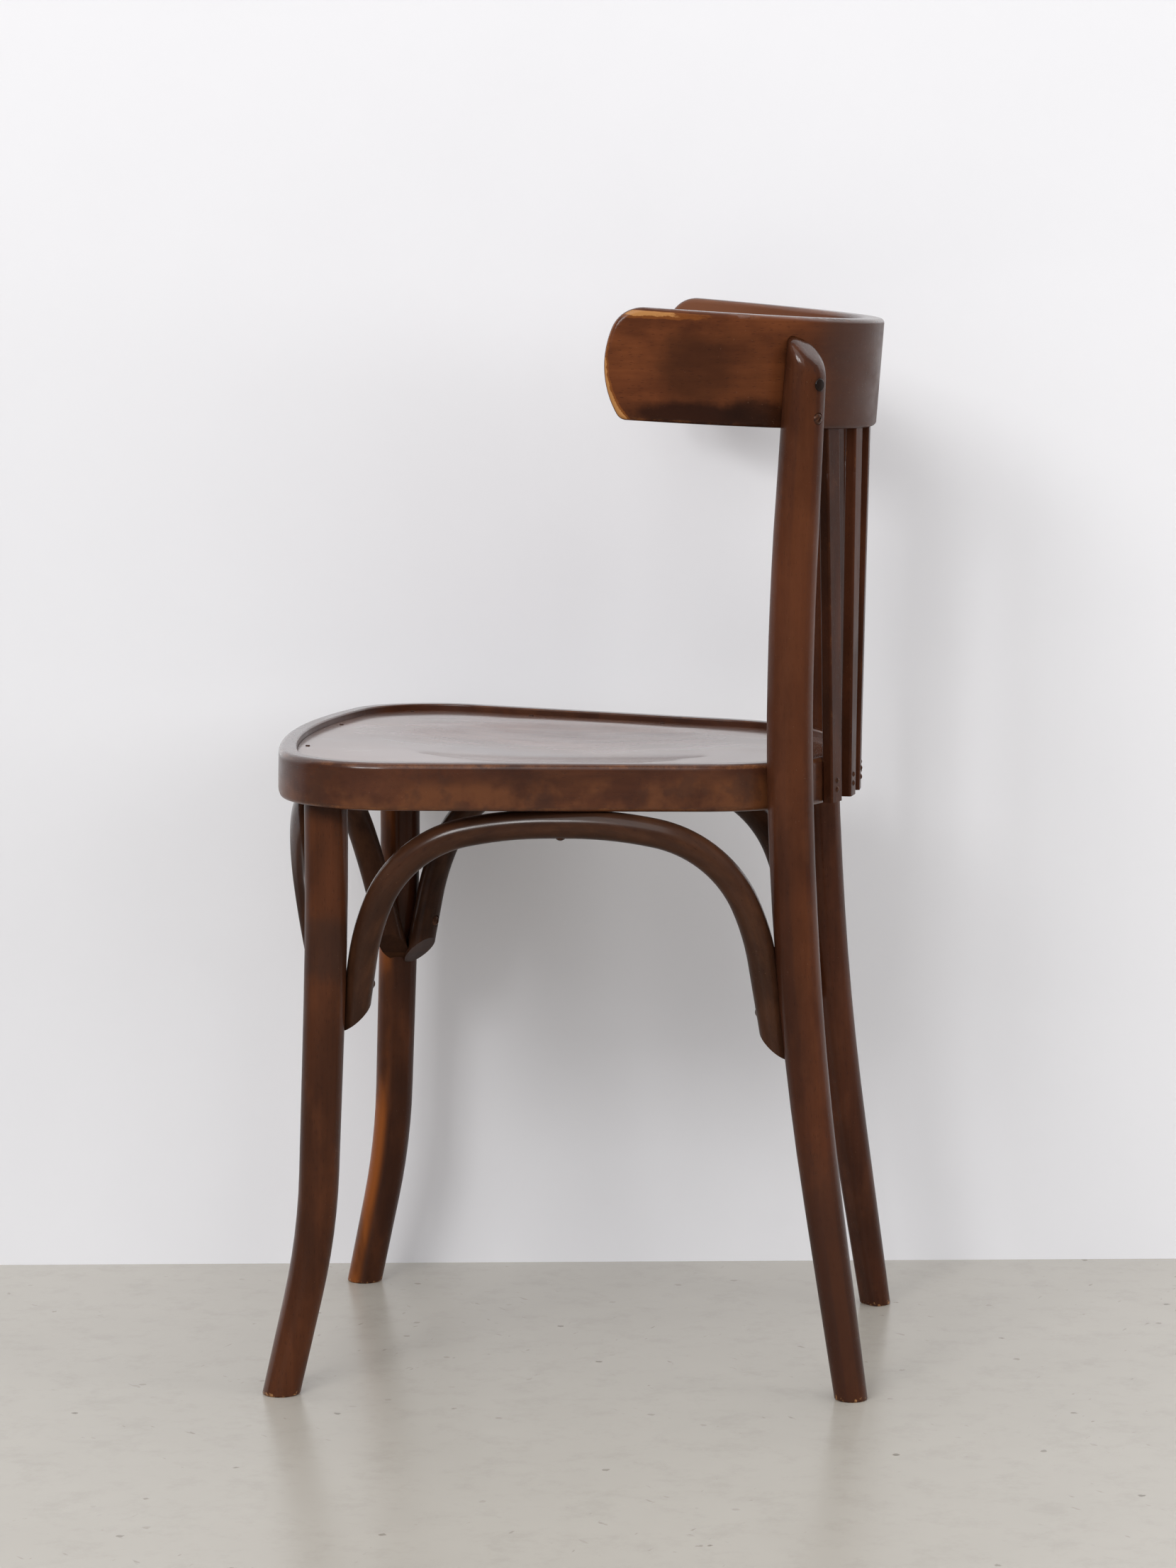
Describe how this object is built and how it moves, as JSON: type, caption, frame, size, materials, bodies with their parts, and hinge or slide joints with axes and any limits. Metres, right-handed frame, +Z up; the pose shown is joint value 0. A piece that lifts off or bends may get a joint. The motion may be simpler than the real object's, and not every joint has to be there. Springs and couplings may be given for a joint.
{
  "type": "bentwood side chair",
  "caption": "Bentwood bistro chair with a round-cornered dished plywood seat, bent top rail with short arms, slatted back, swept legs and bent arches under the seat.",
  "frame": {"origin": "centre of the chair's footprint on the floor", "axes": "+Z up, the sitter faces -Y, +X is the sitter's left"},
  "size_m": [0.4076, 0.4407, 0.7777],
  "materials": {
    "frame_wood": "beech, dark brown stain under worn varnish",
    "rail_wood": "beech, warm brown stain under worn varnish",
    "slat_wood": "beech, brown stain under varnish",
    "arch_wood": "beech, dark brown stain under glossy varnish",
    "seat_plywood": "pressed plywood, brown stain, worn satin varnish",
    "steel_fasteners": "steel, darkened with age"
  },
  "bodies": {
    "root": {"seat_ring": "frame_wood", "seat_panel": "seat_plywood", "seat_panel_pins": "steel_fasteners", "front_leg_left": "frame_wood", "front_leg_right": "frame_wood", "rear_post_left": "frame_wood", "rear_post_right": "frame_wood", "top_rail": "rail_wood", "back_slat_1": "slat_wood", "back_slat_2": "slat_wood", "back_slat_3": "slat_wood", "back_slat_4": "slat_wood", "back_slat_5": "slat_wood", "side_arch_left": "arch_wood", "side_arch_right": "arch_wood", "front_arch": "arch_wood", "side_arch_end_screws": "steel_fasteners", "front_arch_end_screws": "steel_fasteners", "arch_crown_screws": "steel_fasteners", "rear_post_screws": "steel_fasteners", "top_rail_screws": "steel_fasteners", "slat_nails": "steel_fasteners"}
  },
  "joints": []
}
